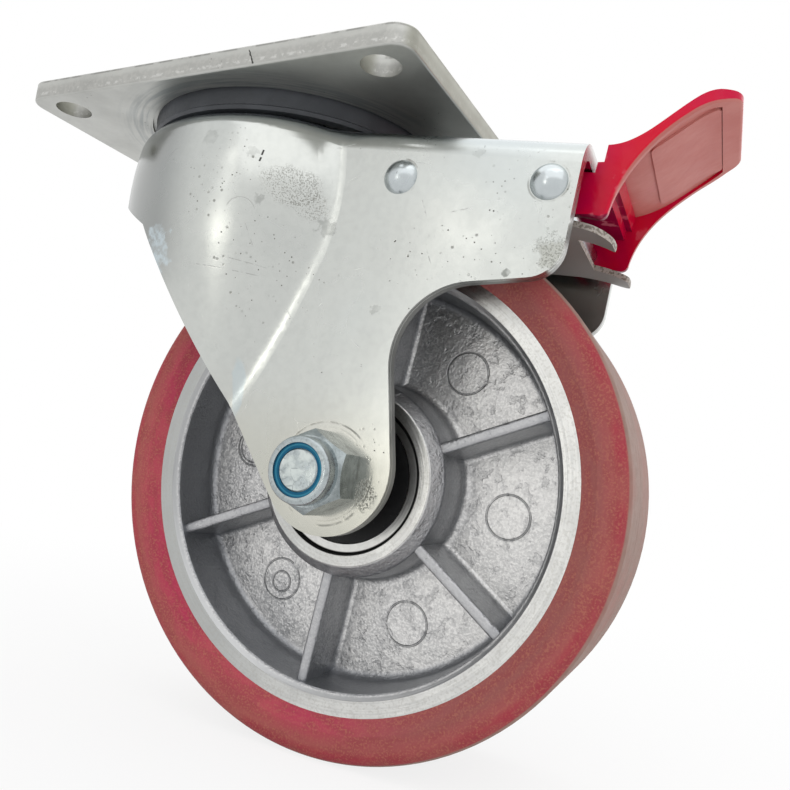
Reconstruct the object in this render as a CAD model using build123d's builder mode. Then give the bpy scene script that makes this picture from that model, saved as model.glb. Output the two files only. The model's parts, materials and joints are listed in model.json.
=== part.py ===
from build123d import *
import math
import os

# Swivel castor: top plate, pressed fork on a double ball race, 150 mm wheel, pedal brake.
# Origin: centre of the four bolt holes on the top face of the plate.  X runs along the
# plate's long side, Y along its short side, Z up.  Everything is in millimetres.
# The fork stands turned by swivel_angle about Z.  Its own directions are `along`, which
# points to the pedal, and `across`, which is parallel to the wheel's axle.

# ---------------------------------------------------------------- driving dimensions
axle_drop = 110.0            # top face of the plate to the axle
trail = 46.0                 # swivel axis to the axle
swivel_angle = 3.7           # how far the fork stands turned, degrees
slide_gap = 0.3              # clearance between pieces that move past each other
seat_gap = 0.02              # clearance between pieces pressed or clamped together
run_gap = 0.05               # clearance of a running fit, on the radius

plate_length = 135.0
plate_width = 112.0
plate_thickness = 6.0
plate_corner = 6.0
plate_edge_round = 0.7
bolt_margin_x = 11.5         # edge of the plate to the bolt holes
bolt_margin_y = 9.0
bolt_hole_d = 11.0

kingpin_d = 16.0
kingpin_head_d = 26.0
kingpin_foot_d = 24.0
kingpin_foot_height = 4.5
kingpin_foot_round = 3.1
kingpin_clearance = 1.0      # room round the kingpin in the fork

swivel_gap = 6.0             # plate to the top of the fork
upper_ball_d = 8.0
upper_ball_count = 22
lower_gap = 4.0              # fork to the lower race
lower_ball_d = 6.0
lower_race_r = 18.5
lower_ball_count = 15
lower_race_thickness = 4.0
lower_race_d = 50.0
seal_d = 94.0
seal_wall = 4.0
seal_room = 3.0              # upper balls to the inside of the seal
seal_seat_depth = 0.8
seal_seat_rim = 1.2
seal_bead = 0.5

sheet = 4.0                  # sheet of the fork
fork_width = 74.0
crown_d = 98.5               # crown under its top bend
crown_belt_d = 105.0         # widest part of the crown
crown_belt_drop = 36.0
crown_foot_above_axle = 4.0  # where the crown's taper meets the width of the legs
crown_bend = 7.0
belt_round = 90.0
crease_round = 12.0
arm_tail = 57.9              # axle to the end of the arm, along
arm_tail_lean = 3.4
arm_break = -25.0            # where the arm starts to slope, from the axle
arm_break_round = 150.0
arm_headroom = 0.55          # pedal to the roof of the arm, over the rear rivet
arm_floor = 50.2             # lower edge of the arm above the axle, at the leg
arm_floor_rise = 3.8
leg_corner = 10.5            # axle to the inner corner of leg and arm
leg_corner_r = 20.5
arm_corner_r = 9.0
leg_end_r = 18.2
leg_end_rise = 2.0
leg_front = -66.0            # bend in the front edge of the leg
leg_front_height = 64.5
leg_front_bow = 0.8          # how far the front edge of the leg bows out
lip_front = -84.0
lip_height = 74.5
lip_round = 5.0
arch_front = -92.0
arch_height = 85.0

wheel_d = 150.0
wheel_width = 50.0
tyre_shoulder_r = 3.6
tyre_foot_height = 4.0
rim_d = 126.2
rim_face = 23.2              # wheel's middle to the face of the rim
rim_lip = 4.2
rim_chamfer = 1.6
rib_face = 20.2
rib_thickness = 3.0          # across the rib's flat sides, at its top
rib_top_round = 1.2
rib_foot_round = 2.0
rib_sink = 0.05              # root of the ribs below the face of the web
rib_angle = 23.0
rib_count = 6
web_thickness = 12.0
pocket_taper = 4.0           # draft of the casting, degrees
pocket_floor_round = 2.5
hub_d = 55.0
hub_face_d = 48.6
hub_face = 24.0
hub_shoulder_d = 34.0
hub_bore_chamfer = 0.5
hub_round = 1.5

bearing_d = 42.0
bearing_bore = 20.0
bearing_width = 12.0
bearing_inset = 1.0          # face of the hub to the bearing
bearing_ball_d = 6.35
bearing_ball_count = 9
outer_ring_wall = 2.8
inner_ring_wall = 3.4
bearing_edge = 0.6
bearing_seal_thickness = 0.8
bearing_seal_inset = 0.4
cage_wall = 1.6
cage_width = 7.4

axle_d = 12.0
axle_clearance = 0.2
axle_head_height = 7.5
axle_end_inset = 0.3         # end of the axle below the end of its nut
axle_end_chamfer = 1.0
hex_flats = 19.0
hex_face_d = 18.0
hex_corner_drop = 2.0        # turned corners of the hexagons
nut_hex_height = 9.8
nut_height = 14.4
nut_collar_d = 17.2
nut_collar_round = 1.2
nut_lip = 0.6
nut_insert_d = 14.8
nut_mouth_d = 13.6
nut_insert_height = 3.0
end_spacer_d = 27.0
mid_spacer_d = 25.0

rivet_d = 6.0
rivet_head_d = 9.4
rivet_head_height = 2.9
front_rivet = 10.2           # axle to the rivet, along
front_rivet_above_tyre = 5.0
rear_rivet = 49.8
rear_rivet_above_tyre = 2.4
rivet_spacer_d = 8.0

brake_sheet = 1.6
brake_width = 50.0
brake_front = 14.0
brake_front_height = 2.4     # middle of the leaf above the tyre's top
brake_middle = 36.7
brake_middle_drop = 2.0      # and below it
brake_notch = 53.8           # axle to the foot of the notch
brake_notch_drop = 3.8
brake_notch_width = 28.0
brake_tail = 64.1
brake_tail_drop = 7.4
brake_corner_r = 6.5
brake_tongue_round = 1.5     # inner corners of the two tongues
ear_r = 4.7
ear_reach = 14.0
ear_foot_height = 0.4
pedal_sheet = 2.2
pedal_root_width = 49.0
pedal_tread_width = 51.6
pedal_tip_width = 37.0
pedal_front_r = 8.0
pedal_waist = 64.0           # where the plan starts to widen
pedal_shoulder = 75.0        # where it has its full width
pedal_knee = 84.0            # where it narrows to the tip
pedal_knee_inset = 0.6
pedal_waist_round = 30.0
pedal_knee_round = 10.0
pedal_tail = 91.0
pedal_tip_slant = 1.0
pedal_tip_round = 6.0
pedal_tip_wall = 4.6
pedal_edge_round = 0.9
pedal_step_height = 2.0      # all heights of the pedal are above its root
pedal_step_length = 2.0
pedal_step_drop = 0.8
pedal_riser_height = 6.5
pedal_riser_lean = 0.6
tread_foot = 66.0
tread_foot_height = 7.4
tread_middle = 77.1
tread_middle_height = 14.4
tread_knee_height = 19.1
pedal_tail_height = 20.4
tip_depth = 1.8              # height of the pedal's side at its tip
tread_depth = 3.4
pedal_neck = 66.9
pedal_heel = 62.0
pedal_heel_drop = 13.2
pedal_heel_round = 2.0
pedal_belly = 54.5
pedal_belly_drop = 11.7
pad_start = 70.5             # raised field below the tread
pad_end = 86.2
pad_width = 38.0
pad_height = 0.8
pad_corner_r = 1.5

# ---------------------------------------------------------------- directions and planes
turn = math.radians(swivel_angle)
along = Vector(math.cos(turn), math.sin(turn), 0)
across = Vector(-math.sin(turn), math.cos(turn), 0)
side = Plane(origin=(0, 0, 0), x_dir=along, z_dir=-across)

plate_under = -plate_thickness
crown_top = plate_under - swivel_gap
crown_under = crown_top - sheet
lower_race_top = crown_under - lower_gap
lower_race_under = lower_race_top - lower_race_thickness
tyre_top = wheel_d / 2
front_rivet_height = tyre_top + front_rivet_above_tyre
rear_rivet_height = tyre_top + rear_rivet_above_tyre
root_top = rear_rivet_height + pedal_front_r


def from_axle(x, height):
    """Point of the side plane, given from the axle."""
    return (trail + x, height - axle_drop)


def section_at(x, height):
    """Plane through an axis parallel to the axle: X runs along the axis, Y is radial."""
    u, v = from_axle(x, height)
    return Plane(origin=along * u + Vector(0, 0, v), x_dir=across, z_dir=along)


def tangent_point(point, centre, radius, turn_sign):
    """Where a line from a point touches a circle, on the side that turn_sign picks."""
    dx = centre[0] - point[0]
    dy = centre[1] - point[1]
    distance = math.hypot(dx, dy)
    angle = math.atan2(dy, dx) + turn_sign * math.asin(radius / distance)
    length = math.sqrt(distance ** 2 - radius ** 2)
    return (point[0] + length * math.cos(angle), point[1] + length * math.sin(angle))


def bowed(start, end, bow):
    """Middle point of an arc that bows out to the right of the line from start to end."""
    dx = end[0] - start[0]
    dy = end[1] - start[1]
    length = math.hypot(dx, dy)
    return ((start[0] + end[0]) / 2 + bow * dy / length, (start[1] + end[1]) / 2 - bow * dx / length)


def round_corner(sketch, point, radius):
    """Round the corner of an open sketch that lies nearest to a point."""
    fillet(sketch.vertices().sort_by_distance(point)[0], radius)


def turned(section, outline, label):
    """Piece of revolution about the X axis of a section plane, from closed outlines."""
    with BuildPart() as piece:
        with BuildSketch(section):
            for points in outline:
                with BuildLine():
                    Polyline(*points, close=True)
                make_face()
        revolve(axis=Axis(section.origin, section.x_dir))
    finish(piece, label)


def finish(builder, label):
    """Label a finished piece and write it."""
    builder.part.label = label
    export_step(builder.part, f"parts/{label}.step")


os.makedirs("parts", exist_ok=True)

# ---------------------------------------------------------------- top plate
seal_r = seal_d / 2
upper_ball_r = upper_ball_d / 2
upper_race_r = seal_r - seal_wall - seal_room - upper_ball_r
upper_ball_z = plate_under - swivel_gap / 2
pin_r = kingpin_d / 2
pin_head_r = kingpin_head_d / 2
with BuildPart() as top_plate:
    with BuildSketch(Plane.XY.offset(plate_under)):
        RectangleRounded(plate_length, plate_width, plate_corner)
    extrude(amount=plate_thickness)
    fillet(top_plate.faces().filter_by(Axis.Z).edges(), plate_edge_round)
    with BuildSketch():
        with GridLocations(plate_length - 2 * bolt_margin_x, plate_width - 2 * bolt_margin_y, 2, 2):
            Circle(bolt_hole_d / 2)
    extrude(amount=-plate_thickness, mode=Mode.SUBTRACT)
    # bore for the kingpin with a countersink for its head
    with BuildSketch(Plane.XZ):
        Polygon(
            (0, 0), (pin_head_r + seat_gap, 0), (pin_r + seat_gap, pin_r - pin_head_r),
            (pin_r + seat_gap, plate_under), (0, plate_under), align=None,
        )
    revolve(axis=Axis.Z, mode=Mode.SUBTRACT)
    # shallow seat for the dust seal round a raised ball track
    with BuildSketch(Plane.XY.offset(plate_under)):
        Circle(seal_r + seal_seat_rim)
        Circle(seal_r - seal_wall - slide_gap, mode=Mode.SUBTRACT)
    extrude(amount=seal_seat_depth, mode=Mode.SUBTRACT)
    with BuildSketch(Plane.XZ):
        with Locations((upper_race_r, upper_ball_z)):
            Circle(upper_ball_r + run_gap)
    revolve(axis=Axis.Z, mode=Mode.SUBTRACT)
finish(top_plate, "top_plate")

# ---------------------------------------------------------------- kingpin
foot_r = kingpin_foot_d / 2
foot_z = lower_race_under - kingpin_foot_height
with BuildPart() as kingpin:
    with BuildSketch(Plane.XZ):
        Polygon(
            (0, 0), (pin_head_r, 0), (pin_r, pin_r - pin_head_r), (pin_r, lower_race_under),
            (foot_r, lower_race_under), (foot_r, foot_z), (0, foot_z), align=None,
        )
    revolve(axis=Axis.Z)
    fillet(kingpin.edges().group_by(Axis.Z)[0], kingpin_foot_round)
finish(kingpin, "kingpin")

# ---------------------------------------------------------------- swivel balls and races
lower_ball_r = lower_ball_d / 2
lower_ball_z = crown_under - lower_gap / 2
race_bore_r = pin_r + seat_gap
race_rim_r = lower_race_d / 2
race_lip_r = race_rim_r - lower_race_thickness / 2
race_lip_z = lower_race_top + lower_gap / 2
with BuildPart(Plane.XY.offset(upper_ball_z)) as upper_balls:
    with PolarLocations(upper_race_r, upper_ball_count):
        Sphere(upper_ball_r)
finish(upper_balls, "upper_balls")

with BuildPart(Plane.XY.offset(lower_ball_z)) as lower_balls:
    with PolarLocations(lower_race_r, lower_ball_count):
        Sphere(lower_ball_r)
finish(lower_balls, "lower_balls")

with BuildPart() as lower_race:
    with BuildSketch(Plane.XZ):
        Polygon(
            (race_bore_r, lower_race_under), (race_rim_r, lower_race_under), (race_rim_r, race_lip_z),
            (race_lip_r, race_lip_z), (race_lip_r, lower_race_top), (race_bore_r, lower_race_top),
            align=None,
        )
        with Locations((lower_race_r, lower_ball_z)):
            Circle(lower_ball_r + seat_gap, mode=Mode.SUBTRACT)
    revolve(axis=Axis.Z)
finish(lower_race, "lower_race")

# ---------------------------------------------------------------- dust seal
seal_inner_r = seal_r - seal_wall
seal_top = plate_under + seal_seat_depth
seal_foot = crown_top + slide_gap
with BuildPart() as dust_seal:
    with BuildSketch(Plane.XZ):
        Polygon(
            (seal_inner_r, seal_top), (seal_r, seal_top), (seal_r - seal_bead, seal_foot + 3 * seal_bead),
            (seal_r, seal_foot + 2 * seal_bead), (seal_r - seal_bead, seal_foot), (seal_inner_r, seal_foot),
            align=None,
        )
    revolve(axis=Axis.Z)
finish(dust_seal, "dust_seal")


# ---------------------------------------------------------------- fork
def fork_envelope(inset):
    """Outer or inner skin of the fork: a drawn crown that runs out into a flat-sided arm."""
    top = crown_top - inset
    half = fork_width / 2 - inset
    rim_r = crown_d / 2 - inset
    belt_r = crown_belt_d / 2 - inset
    foot_height = crown_foot_above_axle - axle_drop
    bottom = -axle_drop - 2 * leg_end_r
    taper = (belt_r - half) / (-crown_belt_drop - foot_height)
    low_r = half + taper * (bottom - foot_height)
    arm_end = trail + arm_tail + sheet
    roof = root_top + arm_headroom + sheet - axle_drop
    slope = (roof - crown_top) / (rear_rivet - arm_break)
    with BuildPart() as skin:
        # drawn crown, round about the swivel axis
        with BuildSketch(side) as crown_section:
            Polygon(
                (0, bottom), (0, top), (rim_r, top), (belt_r, -crown_belt_drop), (low_r, bottom),
                align=None,
            )
            round_corner(crown_section, (belt_r, -crown_belt_drop), belt_round)
        revolve(axis=Axis.Z)
        # flat sides of the legs and the arm
        with BuildSketch(side):
            Polygon(
                (-half / 2, bottom), (-half / 2, top), (arm_end, top), (arm_end, bottom), align=None,
            )
        extrude(amount=half, both=True)
        creases = [e for e in skin.edges() if crosses_side(e, half)]
        fillet(creases, crease_round + inset)
        # flat top over the ball race that slopes down along the arm
        with BuildSketch(side) as cap:
            break_point = from_axle(arm_break, axle_drop + top)
            Polygon(
                (-crown_belt_d, bottom), (-crown_belt_d, top), break_point,
                (arm_end, top + slope * (arm_end - break_point[0])), (arm_end, bottom), align=None,
            )
            round_corner(cap, break_point, arm_break_round)
        extrude(amount=crown_belt_d, both=True, mode=Mode.INTERSECT)
        rim = [e for f in skin.faces() if f.normal_at().Z > 0.9 for e in f.edges()]
        fillet([e for e in rim if not runs_across(e)], crown_bend - inset)
        # raised seat that keeps the ball race level
        with BuildSketch(Plane.XY.offset(top)):
            Circle(upper_race_r + upper_ball_r - inset / 2)
        extrude(amount=-2 * sheet)
    return skin.part


def crosses_side(edge, half):
    """True for a curved edge that lies in one of the flat sides."""
    spots = [edge.position_at(step / 4) for step in range(5)]
    return edge.geom_type != GeomType.LINE and all(abs(abs(p.dot(across)) - half) < 0.01 for p in spots)


def runs_across(edge):
    """True for a straight edge parallel to the axle."""
    return edge.geom_type == GeomType.LINE and abs(edge.tangent_at(0.5).dot(across)) > 0.99


lower_balls_seat = lower_ball_r + run_gap
upper_balls_seat = upper_ball_r + run_gap
with BuildPart() as leg_blank:
    with BuildSketch(side) as leg_outline:
        end_centre = from_axle(0, leg_end_rise)
        front_bend = from_axle(leg_front, leg_front_height)
        inner_corner = from_axle(leg_corner, arm_floor)
        tail_foot = from_axle(arm_tail - arm_tail_lean, arm_floor + arm_floor_rise)
        front_touch = tangent_point(front_bend, end_centre, leg_end_r, -1)
        rear_touch = tangent_point(inner_corner, end_centre, leg_end_r, 1)
        lip = from_axle(lip_front, lip_height)
        with BuildLine():
            ThreePointArc(front_bend, bowed(front_bend, front_touch, leg_front_bow), front_touch)
            ThreePointArc(front_touch, (end_centre[0], end_centre[1] - leg_end_r), rear_touch)
            Polyline(
                rear_touch, inner_corner, tail_foot, from_axle(arm_tail, root_top + sheet),
                from_axle(arm_tail, axle_drop), from_axle(arch_front - leg_end_r, axle_drop),
                from_axle(arch_front - leg_end_r, arch_height), from_axle(arch_front, arch_height),
                lip, front_bend,
            )
        make_face()
        round_corner(leg_outline, lip, lip_round)
        round_corner(leg_outline, inner_corner, leg_corner_r)
        round_corner(leg_outline, tail_foot, arm_corner_r)
    extrude(amount=crown_belt_d, both=True)

with BuildPart() as fork:
    add(fork_envelope(0))
    add(fork_envelope(sheet), mode=Mode.SUBTRACT)
    add(leg_blank.part, mode=Mode.INTERSECT)
    with BuildSketch(Plane.XY.offset(crown_top)):
        Circle(pin_r + kingpin_clearance)
    extrude(amount=-sheet, mode=Mode.SUBTRACT)
    # ball tracks above and below the sheet
    with BuildSketch(Plane.XZ):
        with Locations((upper_race_r, upper_ball_z)):
            Circle(upper_balls_seat)
        with Locations((lower_race_r, lower_ball_z)):
            Circle(lower_balls_seat)
    revolve(axis=Axis.Z, mode=Mode.SUBTRACT)
    with BuildSketch(side):
        with Locations(from_axle(0, 0)):
            Circle(axle_d / 2 + axle_clearance)
        rivet_spots = [from_axle(front_rivet, front_rivet_height), from_axle(rear_rivet, rear_rivet_height)]
        with Locations(rivet_spots):
            Circle(rivet_d / 2 + seat_gap)
    extrude(amount=fork_width, both=True, mode=Mode.SUBTRACT)
finish(fork, "fork")

# ---------------------------------------------------------------- axle bolt and lock nut
half = fork_width / 2
inside = half - sheet
axle_section = section_at(0, 0)
axle_plane = Plane(origin=axle_section.origin, x_dir=along, z_dir=across)
axle_r = axle_d / 2
nut_face = -half - seat_gap
nut_end = nut_face - nut_height
axle_end = nut_end + axle_end_inset
chamfer_start = axle_end + axle_end_chamfer


def hex_piece(start, height):
    """Hexagon with turned corners on the outer face, on the axle."""
    with BuildPart() as piece:
        with BuildSketch(axle_plane.offset(start)):
            RegularPolygon(hex_flats / 2, 6, major_radius=False, rotation=30)
        extrude(amount=height)
        corner_r = hex_flats / math.sqrt(3)
        outer = start + height
        inward = -math.copysign(1, height)
        with BuildSketch(axle_section):
            Polygon(
                (start, 0), (start, corner_r), (outer + hex_corner_drop * inward, corner_r),
                (outer, hex_face_d / 2), (outer, 0), align=None,
            )
        revolve(axis=Axis(axle_section.origin, across), mode=Mode.INTERSECT)
    return piece.part


with BuildPart() as axle_bolt:
    add(hex_piece(half + seat_gap, axle_head_height))
    with BuildSketch(axle_section):
        Polygon(
            (half + seat_gap, 0), (half + seat_gap, axle_r), (chamfer_start, axle_r),
            (axle_end, axle_r - axle_end_chamfer), (axle_end, 0), align=None,
        )
    revolve(axis=Axis(axle_section.origin, across))
finish(axle_bolt, "axle_bolt")

insert_top = nut_end + nut_lip
nut_insert_start = insert_top + nut_insert_height
with BuildPart() as lock_nut:
    add(hex_piece(nut_face, -nut_hex_height))
    with BuildSketch(axle_section) as collar_section:
        Polygon(
            (nut_face - nut_hex_height / 2, 0), (nut_face - nut_hex_height / 2, nut_collar_d / 2),
            (nut_end, nut_collar_d / 2), (nut_end, 0), align=None,
        )
        round_corner(collar_section, (nut_end, nut_collar_d / 2), nut_collar_round)
    revolve(axis=Axis(axle_section.origin, across))
    with BuildSketch(axle_section):
        Polygon(
            (nut_face, 0), (nut_face, axle_r + run_gap), (nut_insert_start, axle_r + run_gap),
            (nut_insert_start, nut_insert_d / 2), (insert_top, nut_insert_d / 2),
            (insert_top, nut_mouth_d / 2), (nut_end, nut_mouth_d / 2), (nut_end, 0), align=None,
        )
    revolve(axis=Axis(axle_section.origin, across), mode=Mode.SUBTRACT)
finish(lock_nut, "lock_nut")


def ring(start, end, inner_r, outer_r):
    """Rectangle of a turned ring, for the section plane."""
    return [(start, inner_r), (end, inner_r), (end, outer_r), (start, outer_r)]


insert_r = nut_insert_d / 2 - seat_gap
insert_mouth_r = axle_r + insert_top - chamfer_start + 2 * run_gap
insert = [
    (insert_top + seat_gap, insert_mouth_r), (chamfer_start, axle_r + run_gap),
    (nut_insert_start - seat_gap, axle_r + run_gap), (nut_insert_start - seat_gap, insert_r),
    (insert_top + seat_gap, insert_r),
]
turned(axle_section, [insert], "nut_insert")

# ---------------------------------------------------------------- axle tube and spacers
bearing_face = hub_face - bearing_inset
bearing_back = bearing_face - bearing_width
tube_r = bearing_bore / 2 - seat_gap
tube = ring(-inside + seat_gap, inside - seat_gap, axle_r + axle_clearance, tube_r)
turned(axle_section, [tube], "axle_tube")
mid_spacer = ring(seat_gap - bearing_back, bearing_back - seat_gap, bearing_bore / 2, mid_spacer_d / 2)
turned(axle_section, [mid_spacer], "mid_spacer")
end_start = bearing_face + seat_gap
end_stop = inside - seat_gap
far_end_spacer = ring(end_start, end_stop, bearing_bore / 2, end_spacer_d / 2)
near_end_spacer = ring(-end_start, -end_stop, bearing_bore / 2, end_spacer_d / 2)
turned(axle_section, [near_end_spacer, far_end_spacer], "end_spacers")

# ---------------------------------------------------------------- bearings
ball_r = bearing_ball_d / 2
outer_r = bearing_d / 2 - seat_gap
outer_bore_r = outer_r - outer_ring_wall
inner_r = bearing_bore / 2
inner_rim_r = inner_r + inner_ring_wall
ball_circle_r = (outer_bore_r + inner_rim_r) / 2
bearing_middle = (bearing_face + bearing_back) / 2
cage_half = cage_width / 2
for name, sign in (("near", -1), ("far", 1)):
    middle = sign * bearing_middle
    face = sign * bearing_face
    back = sign * bearing_back
    with BuildPart() as outer_ring:
        with BuildSketch(axle_section) as ring_section:
            Polygon(*ring(back, face, outer_bore_r, outer_r), align=None)
            chamfer(ring_section.vertices(), bearing_edge / 2)
            with Locations((middle, ball_circle_r)):
                Circle(ball_r + run_gap, mode=Mode.SUBTRACT)
        revolve(axis=Axis(axle_section.origin, across))
    finish(outer_ring, f"{name}_outer_ring")
    with BuildPart() as inner_ring:
        with BuildSketch(axle_section) as ring_section:
            Polygon(*ring(back, face, inner_r, inner_rim_r), align=None)
            chamfer(ring_section.vertices(), bearing_edge / 2)
            with Locations((middle, ball_circle_r)):
                Circle(ball_r + run_gap, mode=Mode.SUBTRACT)
        revolve(axis=Axis(axle_section.origin, across))
    finish(inner_ring, f"{name}_inner_ring")
    with BuildPart(axle_plane.offset(middle)) as bearing_balls:
        with PolarLocations(ball_circle_r, bearing_ball_count):
            Sphere(ball_r)
    finish(bearing_balls, f"{name}_bearing_balls")
    with BuildPart(axle_plane.offset(middle)) as cage:
        with BuildSketch(axle_section):
            cage_ring = ring(
                middle - cage_half, middle + cage_half,
                ball_circle_r - cage_wall / 2, ball_circle_r + cage_wall / 2,
            )
            Polygon(*cage_ring, align=None)
        revolve(axis=Axis(axle_section.origin, across))
        with PolarLocations(ball_circle_r, bearing_ball_count):
            Cylinder(ball_r + run_gap, 2 * cage_wall, rotation=(0, 90, 0), mode=Mode.SUBTRACT)
    finish(cage, f"{name}_cage")
    seal_outer = face - sign * bearing_seal_inset
    seal_inner = seal_outer - sign * bearing_seal_thickness
    seal_ring = ring(seal_inner, seal_outer, inner_rim_r + slide_gap, outer_bore_r - seat_gap)
    turned(axle_section, [seal_ring], f"{name}_bearing_seal")

# ---------------------------------------------------------------- wheel centre
rim_r = rim_d / 2
rim_inner_r = rim_r - rim_lip
pocket_outer_r = rim_inner_r - rim_chamfer
hub_r = hub_d / 2
web_half = web_thickness / 2
draft = (rib_face - web_half) * math.tan(math.radians(pocket_taper))
rib_root = web_half - rib_sink
rib_half = rib_thickness / 2
rib_foot_half = rib_half + draft
rib_strip = rib_foot_half + 2 * rib_foot_round
rib_stop = (pocket_outer_r + rim_r) / 2
bore_r = hub_shoulder_d / 2
bearing_r = bearing_d / 2
with BuildPart() as wheel_centre:
    with BuildSketch(axle_section) as wheel_section:
        with BuildLine():
            Polyline(
                (0, 0), (hub_face, 0), (hub_face, hub_face_d / 2), (rib_face, hub_r),
                (web_half, hub_r + draft), (web_half, pocket_outer_r - draft), (rib_face, pocket_outer_r),
                (rim_face - rim_chamfer, pocket_outer_r), (rim_face, rim_inner_r), (rim_face, rim_r),
                (0, rim_r),
            )
            mirror(about=Plane.YZ)
        make_face()
        for sign in (-1, 1):
            round_corner(wheel_section, (sign * web_half, hub_r + draft), pocket_floor_round)
            round_corner(wheel_section, (sign * web_half, pocket_outer_r - draft), pocket_floor_round)
            round_corner(wheel_section, (sign * rib_face, hub_r), hub_round)
    revolve(axis=Axis(axle_section.origin, across))
    # bars across the wheel that form the ribs on both faces of the web
    for step in range(rib_count // 2):
        angle = math.radians(step * 360 / rib_count - rib_angle)
        outward = along * math.cos(angle) - Vector(0, 0, 1) * math.sin(angle)
        rib_plane = Plane(origin=axle_section.origin, x_dir=across, z_dir=outward)
        with BuildSketch(rib_plane) as rib:
            with BuildLine():
                Polyline(
                    (0, rib_strip), (rib_root, rib_strip), (rib_root, rib_foot_half), (rib_face, rib_half),
                    (rib_face, 0),
                )
                mirror(about=Plane.YZ)
                mirror(about=Plane.XZ)
            make_face()
            for sign in (-1, 1):
                for level in (-1, 1):
                    round_corner(rib, (sign * rib_face, level * rib_half), rib_top_round)
                    round_corner(rib, (sign * rib_root, level * rib_foot_half), rib_foot_round)
        extrude(amount=rib_stop, both=True)
    # bore with a seat for each bearing
    with BuildSketch(axle_section):
        with BuildLine():
            Polyline(
                (0, 0), (0, bore_r), (bearing_back, bore_r), (bearing_back, bearing_r),
                (hub_face - hub_bore_chamfer, bearing_r), (hub_face, bearing_r + hub_bore_chamfer),
                (hub_face, 0), (0, 0),
            )
        make_face()
        mirror(about=Plane.YZ)
    revolve(axis=Axis(axle_section.origin, across), mode=Mode.SUBTRACT)
finish(wheel_centre, "wheel_centre")

# ---------------------------------------------------------------- tyre
tyre_half = wheel_width / 2
with BuildPart() as tyre:
    with BuildSketch(axle_section) as tyre_section:
        with BuildLine():
            Polyline(
                (0, rim_r + seat_gap), (rim_face, rim_r + seat_gap), (tyre_half, rim_r + tyre_foot_height),
                (tyre_half, tyre_top - tyre_shoulder_r),
            )
            Line((tyre_half - tyre_shoulder_r, tyre_top), (0, tyre_top))
            RadiusArc(
                (tyre_half, tyre_top - tyre_shoulder_r), (tyre_half - tyre_shoulder_r, tyre_top),
                -tyre_shoulder_r,
            )
            mirror(about=Plane.YZ)
        make_face()
    revolve(axis=Axis(axle_section.origin, across))
finish(tyre, "tyre")

# ---------------------------------------------------------------- rivets and their spacers
rivet_r = rivet_d / 2
rivet_dome_r = ((rivet_head_d / 2) ** 2 + rivet_head_height ** 2) / (2 * rivet_head_height)
for name, x, height, free_half in (
    ("front", front_rivet, front_rivet_height, brake_width / 2),
    ("rear", rear_rivet, rear_rivet_height, pedal_root_width / 2),
):
    rivet_section = section_at(x, height)
    rivet_axis = Axis(rivet_section.origin, across)
    face = half + seat_gap
    with BuildPart() as rivet:
        with BuildSketch(rivet_section):
            Polygon((-face, 0), (face, 0), (face, rivet_r), (-face, rivet_r), align=None)
            with BuildLine():
                Polyline((face + rivet_head_height, 0), (face, 0), (face, rivet_head_d / 2))
                RadiusArc((face, rivet_head_d / 2), (face + rivet_head_height, 0), rivet_dome_r)
            make_face()
            mirror(about=Plane.YZ)
        revolve(axis=rivet_axis)
    finish(rivet, f"{name}_rivet")
    start = free_half + slide_gap / 2
    far_spacer = ring(start, inside - seat_gap, rivet_r + seat_gap, rivet_spacer_d / 2)
    near_spacer = ring(-start, -inside + seat_gap, rivet_r + seat_gap, rivet_spacer_d / 2)
    turned(rivet_section, [near_spacer, far_spacer], f"{name}_spacers")

# ---------------------------------------------------------------- brake plate
brake_half = brake_width / 2
brake_nose = from_axle(brake_front, tyre_top + brake_front_height)
with BuildPart() as brake_plate:
    with BuildSketch(side):
        with BuildLine() as leaf:
            Spline(
                brake_nose, from_axle(brake_middle, tyre_top - brake_middle_drop),
                from_axle(brake_notch, tyre_top - brake_notch_drop),
                from_axle(brake_tail, tyre_top - brake_tail_drop),
            )
        trace(line_width=brake_sheet)
    extrude(amount=brake_half, both=True)
    with BuildSketch(Plane(origin=(0, 0, 0), x_dir=along)) as leaf_plan:
        with Locations((trail + brake_tail / 2, 0)):
            Rectangle(brake_tail, brake_width)
        with Locations((trail + brake_tail, 0)):
            Rectangle(2 * (brake_tail - brake_notch), brake_notch_width, mode=Mode.SUBTRACT)
        for sign in (-1, 1):
            round_corner(leaf_plan, (trail + brake_tail, sign * brake_half), brake_corner_r)
            round_corner(leaf_plan, (trail + brake_tail, sign * brake_notch_width / 2), brake_tongue_round)
    extrude(amount=-axle_drop, mode=Mode.INTERSECT)
    # ears turned up round the front rivet
    for sign in (-1, 1):
        with BuildSketch(side.offset(sign * (brake_half - brake_sheet / 2))):
            with Locations(from_axle(front_rivet, front_rivet_height)):
                Circle(ear_r)
            with Locations(brake_nose):
                Circle(brake_sheet / 2)
            with Locations(from_axle(front_rivet + ear_reach, tyre_top + ear_foot_height)):
                Circle(brake_sheet / 2)
            make_hull()
        extrude(amount=brake_sheet / 2, both=True)
    with BuildSketch(side):
        with Locations(from_axle(front_rivet, front_rivet_height)):
            Circle(rivet_r + run_gap)
    extrude(amount=fork_width, both=True, mode=Mode.SUBTRACT)
finish(brake_plate, "brake_plate")

# ---------------------------------------------------------------- pedal
pedal_half = pedal_root_width / 2
tread_half = pedal_tread_width / 2
tip_half = pedal_tip_width / 2
pedal_front = rear_rivet - pedal_front_r
pedal_plan_plane = Plane(origin=(0, 0, 0), x_dir=along)


def tread(drop, tail):
    """Line of the tread from the riser to a tail, lowered by drop for its underside."""
    Spline(
        from_axle(riser + drop, root_top + pedal_riser_height - drop),
        from_axle(tread_foot, root_top + tread_foot_height - drop),
        from_axle(tread_middle, root_top + tread_middle_height - drop),
        from_axle(pedal_knee, root_top + tread_knee_height - drop),
        from_axle(tail, root_top + pedal_tail_height - drop),
    )


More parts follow.
